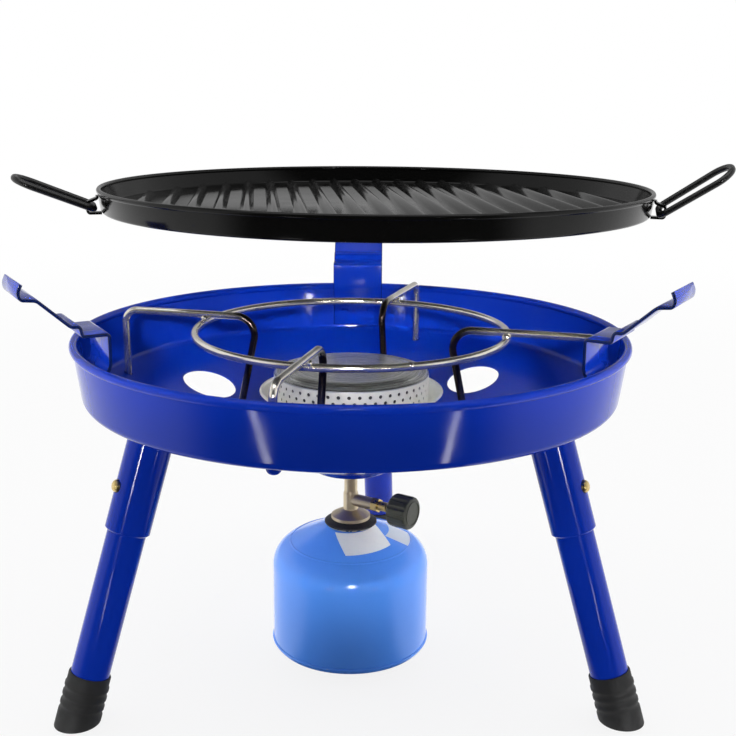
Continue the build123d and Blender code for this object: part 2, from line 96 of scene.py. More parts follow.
studio = {
    "roomFront": 0.16,  # even light of the white room, more from the sides and behind
    "roomSides": 0.85,
    "roomLow": 5.0,  # and most of it low down, under the pan
    "roomEdge": (-0.60, 0.15),
    "lowEdge": (0.42, 0.62),
    "frontDark": 0.012,  # gloss sees a dark card round the camera
    "cardEdge": (-0.74, -0.44),
    "zenithLevel": 0.34,  # a dimmer ceiling and a dimmer wall behind
    "zenithEdge": (0.40, 0.80),
    "rearLevel": 0.48,
    "rearEdge": (0.60, 0.92),
    "topPower": 8.0,
    "topSize": (1.7, 1.1),
    "topPlace": (0.0, -0.25, 1.55),
    "stripPower": 0.048,
    "stripWidth": 0.015,
    "stripAim": (0.2, -0.17, -0.02),  # share of the strip's own x, then y, then height over the rim
    "strips": (  # foot and head of each
        ((-0.192, -0.407, 0.012), (-0.226, -0.390, 0.074)),
        ((0.242, -0.380, 0.012), (0.263, -0.366, 0.071)),
    ),
    "beams": {  # narrow beams: two between pan and rim, one below the bowl, one to each front leg
        "insideFill": {"power": 0.16, "size": (0.40, 0.045), "place": (0.02, -0.82, 0.476),
                       "target": (0.0, 0.0, 0.226), "beam": 9.5},
        "rearFill": {"power": 0.05, "size": (0.20, 0.02), "place": (0.02, -0.82, 0.402),
                     "target": (0.0, 0.17, 0.258), "beam": 9.0},
        "lowFill": {"power": 0.026, "size": (0.20, 0.03), "place": (0.05, -0.90, 0.26),
                    "target": (0.01, -0.02, 0.085), "beam": 9.0},
        "legFillLeft": {"power": 0.10, "size": (0.24, 0.42), "place": (-0.65, -1.28, 0.20),
                        "target": (-0.222, -0.10, 0.13), "beam": 8.5},
        "legFillRight": {"power": 0.10, "size": (0.24, 0.42), "place": (0.65, -1.28, 0.20),
                         "target": (0.222, -0.10, 0.13), "beam": 8.5},
    },
    "panFree": ("insideFill", "rearFill"),  # beams that are kept off the pan, as a flag would do
    "floorGlow": 0.86,  # how much of the floor is plain white beside the stove
    "floorFade": (0.3, 2.2),  # and where it is white all through
    "floorShade": (0.6, 0.6, 0.6),
    "floorRadius": 14.0,
    "floorDrop": 0.0006,
    "floorSides": 96,
}


def fadeBetween(tree, value, edge, low, high):
    fade = tree.nodes.new("ShaderNodeMapRange")
    fade.interpolation_type = "SMOOTHSTEP"
    fade.inputs["From Min"].default_value = edge[0]
    fade.inputs["From Max"].default_value = edge[1]
    fade.inputs["To Min"].default_value = low
    fade.inputs["To Max"].default_value = high
    tree.links.new(value, fade.inputs["Value"])
    return fade.outputs["Result"]


def product(tree, first, second):
    times = tree.nodes.new("ShaderNodeMath")
    times.operation = "MULTIPLY"
    tree.links.new(first, times.inputs[0])
    tree.links.new(second, times.inputs[1])
    return times.outputs[0]


def lightWorld(look):
    world = bpy.data.worlds.new("studioWorld")
    scene.world = world
    world.use_nodes = True
    tree = world.node_tree
    tree.nodes.clear()
    output = tree.nodes.new("ShaderNodeOutputWorld")
    rays = tree.nodes.new("ShaderNodeLightPath")
    around = tree.nodes.new("ShaderNodeTexCoord")
    split = tree.nodes.new("ShaderNodeSeparateXYZ")
    tree.links.new(around.outputs["Generated"], split.inputs[0])
    room = tree.nodes.new("ShaderNodeBackground")
    card = fadeBetween(tree, split.outputs["Y"], look["cardEdge"], look["frontDark"], 1.0)
    ceiling = fadeBetween(tree, split.outputs["Z"], look["zenithEdge"], 1.0, look["zenithLevel"])
    rear = fadeBetween(tree, split.outputs["Y"], look["rearEdge"], 1.0, look["rearLevel"])
    gloss = tree.nodes.new("ShaderNodeBackground")
    tree.links.new(product(tree, product(tree, card, ceiling), rear), gloss.inputs["Strength"])
    white = tree.nodes.new("ShaderNodeBackground")
    white.inputs["Color"].default_value = (1, 1, 1, 1)
    sides = fadeBetween(tree, split.outputs["Y"], look["roomEdge"], 0.0, 1.0)
    band = fadeBetween(tree, split.outputs["Z"], look["lowEdge"], look["roomLow"], look["roomSides"])
    level = tree.nodes.new("ShaderNodeMath")
    level.inputs[1].default_value = look["roomFront"]
    tree.links.new(product(tree, sides, band), level.inputs[0])
    tree.links.new(level.outputs[0], room.inputs["Strength"])
    shiny = tree.nodes.new("ShaderNodeMath")
    shiny.operation = "MAXIMUM"
    tree.links.new(rays.outputs["Is Glossy Ray"], shiny.inputs[0])
    tree.links.new(rays.outputs["Is Transmission Ray"], shiny.inputs[1])
    seen = tree.nodes.new("ShaderNodeMixShader")
    tree.links.new(shiny.outputs[0], seen.inputs["Fac"])
    tree.links.new(room.outputs[0], seen.inputs[1])
    tree.links.new(gloss.outputs[0], seen.inputs[2])
    final = tree.nodes.new("ShaderNodeMixShader")
    tree.links.new(rays.outputs["Is Camera Ray"], final.inputs["Fac"])
    tree.links.new(seen.outputs[0], final.inputs[1])
    tree.links.new(white.outputs[0], final.inputs[2])
    tree.links.new(final.outputs[0], output.inputs["Surface"])


def softbox(name, size, power, place, target, beam=180.0, along=(0, 0, 1)):
    light = bpy.data.lights.new(name, "AREA")
    light.shape = "RECTANGLE"
    light.size, light.size_y = size
    light.energy = power
    light.spread = radians(beam)
    lamp = bpy.data.objects.new(name, light)
    scene.collection.objects.link(lamp)
    back = (Vector(place) - Vector(target)).normalized()
    side = Vector(along).cross(back).normalized()
    turn = Matrix((side, back.cross(side), back)).transposed().to_4x4()
    lamp.matrix_world = Matrix.Translation(place) @ turn
    lamp.visible_camera = False


def layFloor(look):
    form = bmesh.new()
    bmesh.ops.create_circle(form, cap_ends=True, segments=look["floorSides"], radius=look["floorRadius"])
    mesh = bpy.data.meshes.new("studioFloor")
    form.to_mesh(mesh)
    form.free()
    floor = bpy.data.objects.new("studioFloor", mesh)
    floor.location.z = -look["floorDrop"]
    scene.collection.objects.link(floor)
    paper = bpy.data.materials.new("whitePaper")
    paper.use_nodes = True
    tree = paper.node_tree
    tree.nodes.clear()
    output = tree.nodes.new("ShaderNodeOutputMaterial")
    matt = tree.nodes.new("ShaderNodeBsdfDiffuse")
    matt.inputs["Color"].default_value = (*look["floorShade"], 1)
    glow = tree.nodes.new("ShaderNodeEmission")
    rays = tree.nodes.new("ShaderNodeLightPath")
    place = tree.nodes.new("ShaderNodeTexCoord")
    reach = tree.nodes.new("ShaderNodeVectorMath")
    reach.operation = "LENGTH"
    tree.links.new(place.outputs["Object"], reach.inputs[0])
    far = fadeBetween(tree, reach.outputs["Value"], look["floorFade"], look["floorGlow"], 1.0)
    paperSeen = tree.nodes.new("ShaderNodeMixShader")
    tree.links.new(product(tree, rays.outputs["Is Camera Ray"], far), paperSeen.inputs["Fac"])
    tree.links.new(matt.outputs[0], paperSeen.inputs[1])
    tree.links.new(glow.outputs[0], paperSeen.inputs[2])
    heading = tree.nodes.new("ShaderNodeVectorMath")  # the dark card also stands on the floor
    heading.operation = "NORMALIZE"
    tree.links.new(place.outputs["Object"], heading.inputs[0])
    split = tree.nodes.new("ShaderNodeSeparateXYZ")
    tree.links.new(heading.outputs["Vector"], split.inputs[0])
    card = tree.nodes.new("ShaderNodeEmission")
    tree.links.new(fadeBetween(tree, split.outputs["Y"], look["cardEdge"], look["frontDark"], 1.0),
                   card.inputs["Color"])
    mix = tree.nodes.new("ShaderNodeMixShader")
    tree.links.new(rays.outputs["Is Glossy Ray"], mix.inputs["Fac"])
    tree.links.new(paperSeen.outputs[0], mix.inputs[1])
    tree.links.new(card.outputs[0], mix.inputs[2])
    tree.links.new(mix.outputs[0], output.inputs["Surface"])
    mesh.materials.append(paper)


def lightStudio(look):
    lightWorld(look)
    layFloor(look)
    softbox("topSoftbox", look["topSize"], look["topPower"], look["topPlace"], (0, 0, rimTop),
            along=(0, 1, 0))
    for name, beam in look["beams"].items():
        softbox(name, beam["size"], beam["power"], beam["place"], beam["target"], beam["beam"])
    inward, front, lift = look["stripAim"]
    for number, (foot, head) in enumerate(look["strips"]):
        foot, head = Vector(foot), Vector(head)
        middle = (foot + head) / 2
        wall = Vector((inward * middle.x, front, rimTop + lift))
        size = (look["stripWidth"], (head - foot).length)
        softbox("strip" + str(number), size, look["stripPower"], middle, wall, along=head - foot)


lightStudio(studio)
print("camera and studio set")


# finishes: a pattern is its scale, detail and roughness, a depth is a bump's strength and distance


def startFinish(name, roughness, metallic=0.0):
    finish = bpy.data.materials.new(name)
    finish.use_nodes = True
    tree = finish.node_tree
    shader = tree.nodes["Principled BSDF"]
    shader.inputs["Roughness"].default_value = roughness
    shader.inputs["Metallic"].default_value = metallic
    place = tree.nodes.new("ShaderNodeTexCoord")
    return finish, tree, shader, place.outputs["Object"]


def stretched(tree, place, scale):
    mapping = tree.nodes.new("ShaderNodeMapping")
    mapping.inputs["Scale"].default_value = scale
    tree.links.new(place, mapping.inputs["Vector"])
    return mapping.outputs["Vector"]


def grain(tree, place, scale, detail=3.0, rough=0.55):
    cloud = tree.nodes.new("ShaderNodeTexNoise")
    cloud.inputs["Scale"].default_value = scale
    cloud.inputs["Detail"].default_value = detail
    cloud.inputs["Roughness"].default_value = rough
    tree.links.new(place, cloud.inputs["Vector"])
    return cloud.outputs["Fac"]


def spread(tree, value, low, high, fromLow=0.3, fromHigh=0.7):
    reach = tree.nodes.new("ShaderNodeMapRange")
    reach.inputs["From Min"].default_value = fromLow
    reach.inputs["From Max"].default_value = fromHigh
    reach.inputs["To Min"].default_value = low
    reach.inputs["To Max"].default_value = high
    tree.links.new(value, reach.inputs["Value"])
    return reach.outputs["Result"]


def blendColours(tree, factor, first, second):
    mix = tree.nodes.new("ShaderNodeMix")
    mix.data_type = "RGBA"
    mix.inputs[6].default_value = (*first, 1)
    mix.inputs[7].default_value = (*second, 1)
    tree.links.new(factor, mix.inputs[0])
    return mix.outputs[2]


def dent(tree, shader, height, strength, distance):
    bump = tree.nodes.new("ShaderNodeBump")
    bump.inputs["Strength"].default_value = strength
    bump.inputs["Distance"].default_value = distance
    tree.links.new(height, bump.inputs["Height"])
    tree.links.new(bump.outputs["Normal"], shader.inputs["Normal"])


enamelLook = {
    "deep": (0.0020, 0.0225, 0.305),
    "bright": (0.0026, 0.0270, 0.350),
    "roughness": (0.07, 0.13),
    "gloss": 0.22,
    "cloud": (14.0, 3.0),
    "smear": (60.0, 5.0),
    "peel": (260.0, 2.0),  # orange peel of sprayed paint
    "peelDepth": (0.03, 0.0004),
}


def blueEnamel(name, look):
    finish, tree, shader, place = startFinish(name, 0.10)
    cloud = grain(tree, place, *look["cloud"])
    tree.links.new(blendColours(tree, cloud, look["deep"], look["bright"]), shader.inputs["Base Color"])
    smear = spread(tree, grain(tree, place, *look["smear"]), *look["roughness"])
    tree.links.new(smear, shader.inputs["Roughness"])
    shader.inputs["Specular IOR Level"].default_value = look["gloss"]
    dent(tree, shader, grain(tree, place, *look["peel"]), *look["peelDepth"])
    return finish


coatingLook = {
    "black": (0.0030, 0.0030, 0.0029),
    "worn": (0.0065, 0.0065, 0.0063),
    "roughness": (0.09, 0.15),
    "gloss": 0.20,
    "speck": (900.0, 2.0),
    "smear": (45.0, 5.0),
    "pitting": (300.0, 2.0),
    "pittingDepth": (0.012, 0.0002),
}


def panCoating(look):
    finish, tree, shader, place = startFinish("panCoating", 0.2)
    shader.inputs["Specular IOR Level"].default_value = look["gloss"]
    speck = grain(tree, place, *look["speck"])
    tree.links.new(blendColours(tree, speck, look["black"], look["worn"]), shader.inputs["Base Color"])
    smear = spread(tree, grain(tree, place, *look["smear"]), *look["roughness"])
    tree.links.new(smear, shader.inputs["Roughness"])
    dent(tree, shader, grain(tree, place, *look["pitting"]), *look["pittingDepth"])
    return finish


blackLooks = {
    "blackWire": {
        "sheen": 0.32, "dark": (0.004, 0.004, 0.004), "light": (0.010, 0.010, 0.010),
        "speck": (500.0, 3.0),
        "roughness": (0.26, 0.40), "pitting": (800.0, 2.0), "pittingDepth": (0.10, 0.0002),
    },
    "knobPlastic": {
        "sheen": 0.42, "dark": (0.030, 0.032, 0.022), "light": (0.050, 0.052, 0.037),
        "speck": (260.0, 4.0),
        "roughness": (0.36, 0.52), "pitting": (1800.0, 2.0), "pittingDepth": (0.18, 0.0002),
    },
    "blackRubber": {
        "sheen": 0.6, "dark": (0.005, 0.005, 0.006), "light": (0.014, 0.014, 0.014),
        "speck": (300.0, 4.0),
        "roughness": (0.52, 0.70), "pitting": (1200.0, 2.0), "pittingDepth": (0.20, 0.0003),
    },
}


def speckledBlack(name):
    look = blackLooks[name]
    finish, tree, shader, place = startFinish(name, look["sheen"])
    speck = grain(tree, place, *look["speck"])
    tree.links.new(blendColours(tree, speck, look["dark"], look["light"]), shader.inputs["Base Color"])
    tree.links.new(spread(tree, speck, *look["roughness"]), shader.inputs["Roughness"])
    dent(tree, shader, grain(tree, place, *look["pitting"]), *look["pittingDepth"])
    return finish


wireLook = {
    "bright": (0.90, 0.87, 0.80),
    "dull": (0.76, 0.73, 0.66),
    "paintedDarkReflection": (0.026, 0.019, 0.018),  # painted dark reflection: the wires nearest the burner are coloured near black, where they mirror the dark bowl
    "darkReflectionReach": (0.074, 0.096),
    "roughness": (0.13, 0.20),
    "cloud": (55.0, 5.0, 0.6),
    "smear": (90.0, 3.0),
    "drawn": (160.0, 1.0),
    "drawnDepth": (0.008, 0.0002),
}


def fromAxis(tree, place):
    flat = tree.nodes.new("ShaderNodeVectorMath")
    flat.operation = "MULTIPLY"
    flat.inputs[1].default_value = (1, 1, 0)
    tree.links.new(place, flat.inputs[0])
    reach = tree.nodes.new("ShaderNodeVectorMath")
    reach.operation = "LENGTH"
    tree.links.new(flat.outputs["Vector"], reach.inputs[0])
    return reach.outputs["Value"]


def nickelWire(look):
    finish, tree, shader, place = startFinish("nickelWire", 0.30, 0.94)
    tone = blendColours(tree, grain(tree, place, *look["cloud"]), look["bright"], look["dull"])
    # painted dark reflection on the wires nearest the burner, faded out between the two reaches
    darkReflectionMask = spread(tree, fromAxis(tree, place), 0.0, 1.0, *look["darkReflectionReach"])
    darkReflectionMix = blendColours(tree, darkReflectionMask, look["paintedDarkReflection"], look["bright"])
    tree.links.new(tone, darkReflectionMix.node.inputs[7])
    tree.links.new(darkReflectionMix, shader.inputs["Base Color"])
    smear = spread(tree, grain(tree, place, *look["smear"]), *look["roughness"])
    tree.links.new(smear, shader.inputs["Roughness"])
    dent(tree, shader, grain(tree, place, *look["drawn"]), *look["drawnDepth"])
    return finish


burnerLook = {
    "bright": (0.92, 0.91, 0.84),
    "dull": (0.74, 0.73, 0.66),
    "paintedInnerShade": (0.020, 0.018, 0.014),
    "paintedInnerShadeReach": (0.0518, 0.0525),  # painted shade lies inside the perforated band
    "paintedInnerShadeBelow": 0.0306,  # and under the cap, measured from the rim
    "paintedInnerShadeFade": 0.0004,
    "metal": 0.28,
    "roughness": (0.40, 0.54),
    "cloud": (30.0, 5.0, 0.6),
    "lines": (40.0, 40.0, 1400.0),  # rolling marks run round the band
    "lineDepth": (0.05, 0.0002),
}


def burnerSteel(look):
    finish, tree, shader, place = startFinish("burnerSteel", 0.42, look["metal"])
    tone = blendColours(tree, grain(tree, place, *look["cloud"]), look["bright"], look["dull"])
    axes = tree.nodes.new("ShaderNodeSeparateXYZ")
    tree.links.new(place, axes.inputs[0])
    # painted shade: near black inside the band and below the cap, where the cap shades it
    level = rimTop - look["paintedInnerShadeBelow"]
    above = spread(tree, axes.outputs["Z"], 0.0, 1.0, level, level + look["paintedInnerShadeFade"])
    outside = spread(tree, fromAxis(tree, place), 0.0, 1.0, *look["paintedInnerShadeReach"])
    unshaded = tree.nodes.new("ShaderNodeMath")
    unshaded.operation = "MAXIMUM"
    tree.links.new(above, unshaded.inputs[0])
    tree.links.new(outside, unshaded.inputs[1])
    paintedInnerShadeMix = blendColours(tree, unshaded.outputs[0], look["paintedInnerShade"], look["bright"])
    tree.links.new(tone, paintedInnerShadeMix.node.inputs[7])
    tree.links.new(paintedInnerShadeMix, shader.inputs["Base Color"])
    lines = grain(tree, stretched(tree, place, look["lines"]), 1.0)
    tree.links.new(spread(tree, lines, *look["roughness"]), shader.inputs["Roughness"])
    dent(tree, shader, lines, *look["lineDepth"])
    return finish


capLook = {
    "bright": (0.56, 0.57, 0.55),
    "dull": (0.42, 0.43, 0.42),
    "roughness": (0.20, 0.34),
    "cloud": (45.0, 5.0, 0.6),
    "rings": (2600.0, 2.0),  # turning marks
    "ringDepth": (0.04, 0.0001),
}


def capSteel(look):
    finish, tree, shader, place = startFinish("capSteel", 0.28, 0.90)
    tone = grain(tree, place, *look["cloud"])
    tree.links.new(blendColours(tree, tone, look["bright"], look["dull"]), shader.inputs["Base Color"])
    turned = tree.nodes.new("ShaderNodeCombineXYZ")
    tree.links.new(fromAxis(tree, place), turned.inputs["X"])
    rings = grain(tree, turned.outputs["Vector"], *look["rings"])
    tree.links.new(spread(tree, rings, *look["roughness"]), shader.inputs["Roughness"])
    dent(tree, shader, rings, *look["ringDepth"])
    return finish


turnedLook = {
    "cloud": (120.0, 5.0, 0.6),
    "smear": (400.0, 3.0),
    "smoother": 0.07,
    "rougher": 0.10,
    "marks": (900.0, 2.0),
    "markDepth": (0.08, 0.0002),
}


def turnedMetal(name, bright, dull, roughness, look=turnedLook):
    finish, tree, shader, place = startFinish(name, roughness, 1.0)
    tone = grain(tree, place, *look["cloud"])
    tree.links.new(blendColours(tree, tone, bright, dull), shader.inputs["Base Color"])
    smear = grain(tree, place, *look["smear"])
    tree.links.new(spread(tree, smear, roughness - look["smoother"], roughness + look["rougher"]),
                   shader.inputs["Roughness"])
    dent(tree, shader, grain(tree, place, *look["marks"]), *look["markDepth"])
    return finish


paintLook = {
    "deep": (0.075, 0.270, 0.860),
    "bright": (0.095, 0.310, 0.930),
    "roughness": (0.12, 0.20),
    "coat": 0.2,
    "coatRoughness": 0.06,
    "cloud": (25.0, 3.0),
    "smear": (90.0, 4.0),
    "peel": (500.0, 2.0),
    "peelDepth": (0.04, 0.0003),
}


def cartridgePaint(look):
    finish, tree, shader, place = startFinish("cartridgePaint", 0.18)
    cloud = grain(tree, place, *look["cloud"])
    tree.links.new(blendColours(tree, cloud, look["deep"], look["bright"]), shader.inputs["Base Color"])
    smear = spread(tree, grain(tree, place, *look["smear"]), *look["roughness"])
    tree.links.new(smear, shader.inputs["Roughness"])
    shader.inputs["Coat Weight"].default_value = look["coat"]
    shader.inputs["Coat Roughness"].default_value = look["coatRoughness"]
    dent(tree, shader, grain(tree, place, *look["peel"]), *look["peelDepth"])
    return finish


finishes = {
    "blue_enamel": blueEnamel("blueEnamel", enamelLook),
    "black_coating": panCoating(coatingLook),
    "bright_wire": nickelWire(wireLook),
    "burner_steel": burnerSteel(burnerLook),
    "brass": turnedMetal("turnedBrass", (0.80, 0.62, 0.27), (0.62, 0.46, 0.18), 0.28),
    "plated_steel": turnedMetal("zincPlate", (0.62, 0.60, 0.54), (0.46, 0.44, 0.38), 0.30),
    "spring_steel": turnedMetal("springSteel", (0.45, 0.45, 0.46), (0.30, 0.30, 0.31), 0.30),
    "knob_plastic": speckledBlack("knobPlastic"),
    "black_rubber": speckledBlack("blackRubber"),
    "cartridge_paint": cartridgePaint(paintLook),
}
nickelBrass = turnedMetal("nickelBrass", (0.70, 0.60, 0.44), (0.54, 0.45, 0.31), 0.36)
wireBlack = speckledBlack("blackWire")
ownFinish = {"valve_body": nickelBrass, "pan_handle_left": wireBlack, "pan_handle_right": wireBlack}

slotOf = {row["node"]: row["material_slot"] for row in frame["record"]["subparts"]}


def dressNode(name):
    node = nodes[name]
    node.data.materials.clear()
    node.data.materials.append(ownFinish.get(name, finishes[slotOf[name]]))


for name in nodes:
    dressNode(name)
print("finishes on", len(nodes), "nodes")


# modelling helpers

closeBy = {"merge": 1e-7, "corner": 2e-5}


def spinRound(form, outline, steps):
    bmesh.ops.spin(form, geom=outline, axis=(0, 0, 1), cent=(0, 0, 0), dvec=(0, 0, 0), angle=2 * pi,
                   steps=steps, use_merge=True)
    bmesh.ops.remove_doubles(form, verts=form.verts, dist=closeBy["merge"])
    bmesh.ops.recalc_face_normals(form, faces=form.faces)


def spun(form, points, steps=144):
    verts = [form.verts.new((radius, 0, height)) for radius, height in points]
    edges = [form.edges.new(pair) for pair in zip(verts, verts[1:])]
    spinRound(form, verts + edges, steps)


def spunRing(form, radius, height, thickness, sides=12, steps=144):
    upright = Matrix.Translation((radius, 0, height)) @ Matrix.Rotation(pi / 2, 4, "X")
    loop = bmesh.ops.create_circle(form, segments=sides, radius=thickness, matrix=upright)["verts"]
    edges = list({edge for vert in loop for edge in vert.link_edges})
    spinRound(form, loop + edges, steps)


def roundEdges(form, edges, width, segments=3):
    bmesh.ops.bevel(form, geom=list(edges), offset=width, segments=segments, profile=0.5, affect="EDGES",
                    material=-1, clamp_overlap=True)


def cornersAt(form, radius, height):
    near, reach = [], closeBy["corner"]
    for edge in form.edges:
        ends = [(Vector(vert.co.xy).length, vert.co.z) for vert in edge.verts]
        if all(abs(r - radius) < reach and abs(z - height) < reach for r, z in ends):
            near.append(edge)
    return near


def keepPiece(name, form, body, finish, stands=(), bend=38.0):
    mesh = bpy.data.meshes.new(name)
    form.to_mesh(mesh)
    form.free()
    mesh.materials.append(finish)
    mesh.polygons.foreach_set("use_smooth", [True] * len(mesh.polygons))
    mesh.set_sharp_from_angle(angle=radians(bend))
    piece = bpy.data.objects.new(name, mesh)
    scene.collection.objects.link(piece)
    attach(piece, body)
    if stands:
        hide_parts(*stands)
    return piece


# griddle pan: spun dish with a beaded rim and soft-edged ribs

panShape = {
    "sheet": 0.002,
    "bead": 0.0032,
    "beadSides": 14,
    "steps": 240,
    "baseInset": 0.0025,
    "corner": 0.0016,
    "ribCount": 19,
    "ribBase": 0.009,
    "ribTop": 0.0024,
    "ribHeight": 0.0044,
    "ribSunk": 0.0003,  # the rib's foot goes into the base by this much
    "ribTip": 0.004,  # the rib's end slopes in by this much
    "ribRound": 0.0008,
    "ribMargin": 0.0135,
    "ribEdge": 0.0108,
    "ribTurn": 6.5,
}


def buildPan(shape):
    low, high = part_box("griddle_pan")
    radius = (high.y - low.y) / 2
    height = high.z - low.z
    sheet, bead = shape["sheet"], shape["bead"]
    baseRadius = radius - shape["baseInset"]
    rim, top = radius - bead / 2, height - bead / 2
    form = bmesh.new()
    spun(form, [(0, 0), (baseRadius, 0), (rim + sheet / 2, top), (rim - sheet / 2, top),
                (baseRadius - sheet, sheet), (0, sheet)], shape["steps"])
    roundEdges(form, cornersAt(form, baseRadius, 0), shape["corner"])
    roundEdges(form, cornersAt(form, baseRadius - sheet, sheet), shape["corner"])
    spunRing(form, rim, top, bead / 2, shape["beadSides"], shape["steps"])
    reach = baseRadius - shape["ribMargin"]
    pitch = 2 * (reach - shape["ribEdge"]) / (shape["ribCount"] - 1)
    for number in range(shape["ribCount"]):
        offset = number * pitch - (reach - shape["ribEdge"])
        half = (reach ** 2 - offset ** 2) ** 0.5
        layRib(form, offset, half, shape)
    place = Matrix.Translation(((low.x + high.x) / 2, (low.y + high.y) / 2, low.z))
    bmesh.ops.transform(form, matrix=place, verts=form.verts)
    return keepPiece("griddlePan", form, "pan", finishes["black_coating"],
                     ["griddle_pan"])


def layRib(form, offset, half, shape):
    sunk = shape["ribSunk"]
    tall = shape["ribHeight"] + sunk
    turn = Matrix.Rotation(radians(shape["ribTurn"]), 4, "Z")
    place = turn @ Matrix.Translation((offset, 0, shape["sheet"] - sunk + tall / 2))
    rib = bmesh.ops.create_cube(form, size=1.0)["verts"]
    bmesh.ops.scale(form, vec=(shape["ribBase"], 2 * half, tall), verts=rib)
    crest = [vert for vert in rib if vert.co.z > 0]
    taper = (shape["ribTop"] / shape["ribBase"], 1 - shape["ribTip"] / half, 1)
    bmesh.ops.scale(form, vec=taper, verts=crest)
    bmesh.ops.transform(form, matrix=place, verts=rib)
    upper = {edge for vert in crest for edge in vert.link_edges}
    roundEdges(form, upper, shape["ribRound"], 2)


def shadePan(pan, lamps):
    shaded = bpy.data.collections.new("panShade")
    shaded.objects.link(pan)
    shaded.collection_objects[0].light_linking.link_state = "EXCLUDE"
    for lamp in lamps:
        bpy.data.objects[lamp].light_linking.receiver_collection = shaded


shadePan(buildPan(panShape), studio["panFree"])
print("griddle pan built")


# burner: pressed cap and the rolled lip of the dish

burnerShape = {
    "bandDrop": 0.0302,  # band's top below the rim
    "bandHeight": 0.0188,
    "radius": 0.0528,
    "rise": 0.0036,
    "edge": 0.0009,
    "skirtLift": 0.0001,  # foot of the cap's skirt over the band's top
    "hollow": (0.040, 0.0002),  # radius and lift of the cap's underside
    "steps": (  # radius and fall of the pressed steps
        (0.0415, 0.0), (0.0464, 0.0015), (0.0472, 0.0025), (0.0484, 0.0025), (0.0490, 0.0017),
        (0.0508, 0.0017),
    ),
    "topRound": 0.0014,
    "stepRound": 0.0003,
    "edgeRound": 0.0004,
    "lipRadius": 0.0616,
    "lipRise": 0.0070,
    "lipBead": 0.0011,
}


def buildBurner(shape):
    bandTop = rimTop - shape["bandDrop"]
    top = bandTop + shape["rise"]
    shelf = [(radius, top - fall) for radius, fall in shape["steps"]]
    hollow, lift = shape["hollow"]
    skirt = [(shape["radius"], bandTop + shape["edge"]), (shape["radius"], bandTop + shape["skirtLift"])]
    form = bmesh.new()
    spun(form, [(0, top)] + shelf + skirt + [(hollow, bandTop + lift), (0, bandTop + lift)])
    roundEdges(form, cornersAt(form, *shelf[0]), shape["topRound"], 4)
    for corner in shelf[1:]:
        roundEdges(form, cornersAt(form, *corner), shape["stepRound"], 2)
    roundEdges(form, cornersAt(form, *skirt[0]), shape["edgeRound"])
    keepPiece("burnerCap", form, "stove", capSteel(capLook), ["burner_cap"])
    lip = bmesh.new()
    lipHeight = bandTop - shape["bandHeight"] + shape["lipRise"]
    spunRing(lip, shape["lipRadius"], lipHeight, shape["lipBead"])
    keepPiece("dishLip", lip, "stove", finishes["burner_steel"])


buildBurner(burnerShape)
print("burner cap and dish lip built")


# trivet: beads where the bars are welded to the ring, and the ring's two butt welds

weldShape = {
    "ringRadius": 0.105,
    "ringDrop": 0.0007,
    "wire": 0.005,
    "barTurns": (73.0, 167.0, 257.0, 346.0),
    "bead": (0.0030, 0.0017, 0.0021),
    "besideBar": 0.0023,
    "buttTurns": (-69.0, 107.0),
    "butt": (0.0029, 0.0021, 0.0029),
    "lump": 0.0003,
    "lumpScale": 900.0,
    "lumpShift": 300.0,  # no two beads alike
}


def weldLump(form, place, size, shape):
    blob = bmesh.ops.create_icosphere(form, subdivisions=3, radius=1.0)["verts"]
    bmesh.ops.scale(form, vec=size, verts=blob)
    shift = place.to_translation() * shape["lumpShift"]
    for vert in blob:
        uneven = noise.noise(vert.co * shape["lumpScale"] + shift)
        vert.co += vert.co.normalized() * shape["lump"] * uneven
    bmesh.ops.transform(form, matrix=place, verts=blob)


def buildWelds(shape):
    form = bmesh.new()
    ringHeight = rimTop - shape["ringDrop"]
    beadHeight = ringHeight + shape["wire"] / 2
    for turn in shape["barTurns"]:
        for side in (-1, 1):
            spot = Matrix.Translation((shape["ringRadius"], side * shape["besideBar"], beadHeight))
            weldLump(form, Matrix.Rotation(radians(turn), 4, "Z") @ spot, shape["bead"], shape)
    for turn in shape["buttTurns"]:
        spot = Matrix.Translation((shape["ringRadius"], 0, ringHeight))
        weldLump(form, Matrix.Rotation(radians(turn), 4, "Z") @ spot, shape["butt"], shape)
    keepPiece("trivetWelds", form, "trivet", finishes["bright_wire"], bend=60.0)


buildWelds(weldShape)
print("trivet welds built")


# legs: weld seams round the sockets, ribbed rubber feet, and the springs behind the buttons

legShape = {
    "turns": {"rear": 84.0, "left": 212.0, "right": 332.0},
    "splay": 17.5,
    "rootRadius": 0.143,
    "wallFoot": 0.1778,  # radius and depth of the corner between wall and floor
    "wallDepth": 0.0382,
    "floorSlope": 20.4,
    "sheetRise": 0.00064,
    "socket": 0.01425,
    "seam": 0.0013,
    "seamGap": 0.0003,
    "seamPoints": 120,
    "seamSlides": 14,
    "seamRipple": (0.12, 5),  # strength, and points from one ripple to the next
    "seamLump": (0.15, 150),  # strength and scale
    "capRadius": 0.0140,
    "capNeck": 0.0134,
    "capTop": 0.033,
    "capBelow": 0.02,  # the foot starts below the ground and is cut level there
    "capFlare": (0.0075, 0.0085),  # where the sole's band ends and the neck begins
    "capRound": (0.0008, 0.0005),  # fall and inset of the upper edge
    "capBore": 0.0123,
    "capSteps": 64,
    "bands": (0.0125, 0.0185, 0.0245),
    "bandHalf": 0.0017,
    "springArm": 0.0065,  # from the leg's axis to the spring's arm behind the button
    "springMerge": 1e-6,
}


def floorUnder(shape, radius):
    fall = (shape["wallFoot"] - radius) * tan(radians(shape["floorSlope"]))
    return rimTop - shape["wallDepth"] - fall - shape["sheetRise"]


def legFrame(shape, turn):
    splay = radians(shape["splay"])
    rootHeight = floorUnder(shape, shape["rootRadius"]) + shape["sheetRise"]
    foot = shape["rootRadius"] + rootHeight * tan(splay)
    lean = Matrix.Translation((foot, 0, 0)) @ Matrix.Rotation(-splay, 4, "Y")
    return Matrix.Rotation(radians(turn), 4, "Z") @ lean, rootHeight / cos(splay)


